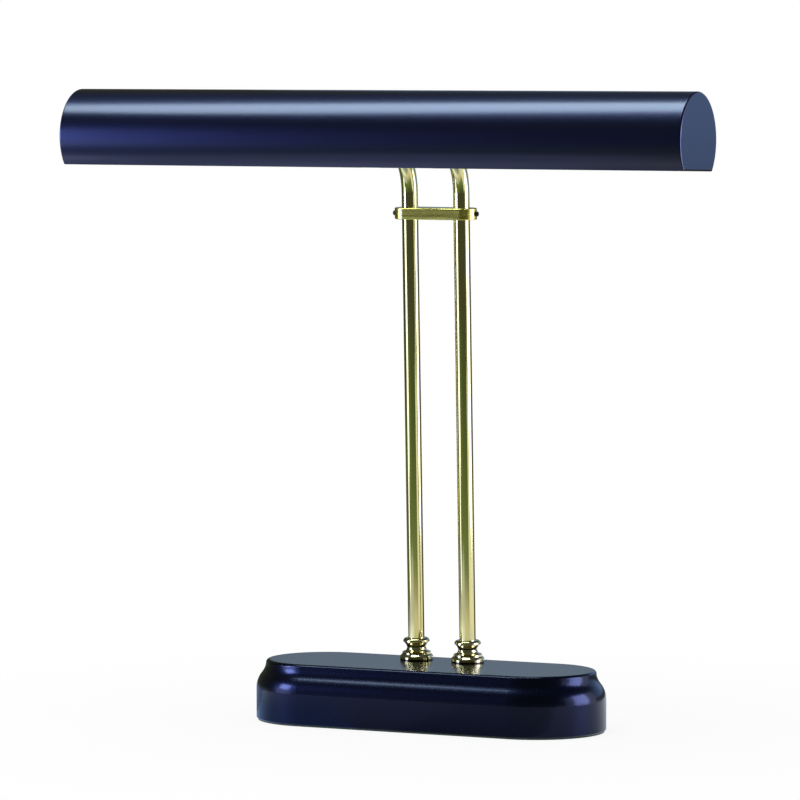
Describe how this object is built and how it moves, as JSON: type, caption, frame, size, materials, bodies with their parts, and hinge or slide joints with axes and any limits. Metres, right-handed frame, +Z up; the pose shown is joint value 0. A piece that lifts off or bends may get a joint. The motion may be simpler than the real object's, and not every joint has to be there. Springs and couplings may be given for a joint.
{
  "type": "piano lamp",
  "caption": "Upright piano lamp: weighted stadium base, twin bent brass posts tied by a bar, and a tilting trough shade over tubular bulbs.",
  "frame": {"origin": "centre of the base's underside, on the surface the lamp stands on", "axes": "+X along the shade and the base, to the right of someone facing the lamp; -Y to the front, where the shade overhangs; +Z up"},
  "size_m": [0.4064, 0.1591, 0.3885],
  "materials": {
    "base_enamel": "high gloss black enamel with a blue cast",
    "shade_enamel": "satin midnight blue enamel",
    "white_enamel": "white reflector enamel inside the shade",
    "polished_brass": "polished and lacquered",
    "plain_brass": "turned, unpolished",
    "bright_steel": "zinc plated",
    "black_steel": "black oxide",
    "raw_iron": "as cast",
    "felt": "dark green felt",
    "phenolic": "moulded black phenolic",
    "nylon": "moulded black nylon",
    "splice_plastic": "moulded off-white plastic",
    "lead_dark": "black wire insulation",
    "lead_pale": "white wire insulation",
    "bulb_glass": "clear glass",
    "cap_metal": "rolled thread",
    "filament_wire": "drawn tungsten"
  },
  "bodies": {
    "stand": {"base_casting": "base_enamel", "ballast_block": "raw_iron", "ballast_screws": "bright_steel", "cover_plate": "bright_steel", "cover_screws": "bright_steel", "felt_pad": "felt", "post_left": "polished_brass", "post_right": "polished_brass", "post_collar_left": "polished_brass", "post_collar_right": "polished_brass", "post_lock_washers": "bright_steel", "post_nuts": "plain_brass", "bridge_bar": "polished_brass", "bridge_set_screws": "black_steel", "socket_bracket": "bright_steel", "arm_nuts": "plain_brass", "pivot_nipple_left": "plain_brass", "pivot_nipple_right": "plain_brass", "pivot_nuts": "plain_brass", "pivot_spring_washers": "bright_steel", "stop_pins": "bright_steel", "lampholder_left": "phenolic", "lampholder_right": "phenolic", "lampholder_shell_left": "plain_brass", "lampholder_shell_right": "plain_brass", "lampholder_contact_left": "plain_brass", "lampholder_contact_right": "plain_brass", "bulb_cap_left": "cap_metal", "bulb_cap_right": "cap_metal", "bulb_glass_left": "bulb_glass", "bulb_glass_right": "bulb_glass", "bulb_stem_left": "bulb_glass", "bulb_stem_right": "bulb_glass", "bulb_filament_left": "filament_wire", "bulb_filament_right": "filament_wire", "switch_body": "phenolic", "switch_nut": "plain_brass", "cord_gland": "nylon", "gland_nut": "nylon", "splice_cap_left": "splice_plastic", "splice_cap_right": "splice_plastic", "line_splice_cap": "splice_plastic", "lamp_lead_left_a": "lead_dark", "lamp_lead_right_a": "lead_dark", "lamp_lead_left_b": "lead_pale", "lamp_lead_right_b": "lead_pale", "switch_lead_lamp": "lead_dark", "switch_lead_line": "lead_dark"},
    "shade": {"shade_shell": "shade_enamel", "shade_end_cap_left": "shade_enamel", "shade_end_cap_right": "shade_enamel", "shade_hanger_left": "bright_steel", "shade_hanger_right": "bright_steel"},
    "switch_rotor": {"switch_shaft": "bright_steel", "switch_knob": "phenolic", "knob_set_screw": "black_steel"}
  },
  "joints": [
    {"name": "shade_tilt", "type": "hinge", "parent": "stand", "child": "shade", "pos_m": [0, -0.0691, 0.36], "axis": [1, 0, 0], "range_deg": [-45, 45]},
    {"name": "switch_turn", "type": "hinge", "parent": "stand", "child": "switch_rotor", "pos_m": [0.045, 0.055, 0.0116], "axis": [0, 1, 0], "continuous": true}
  ]
}
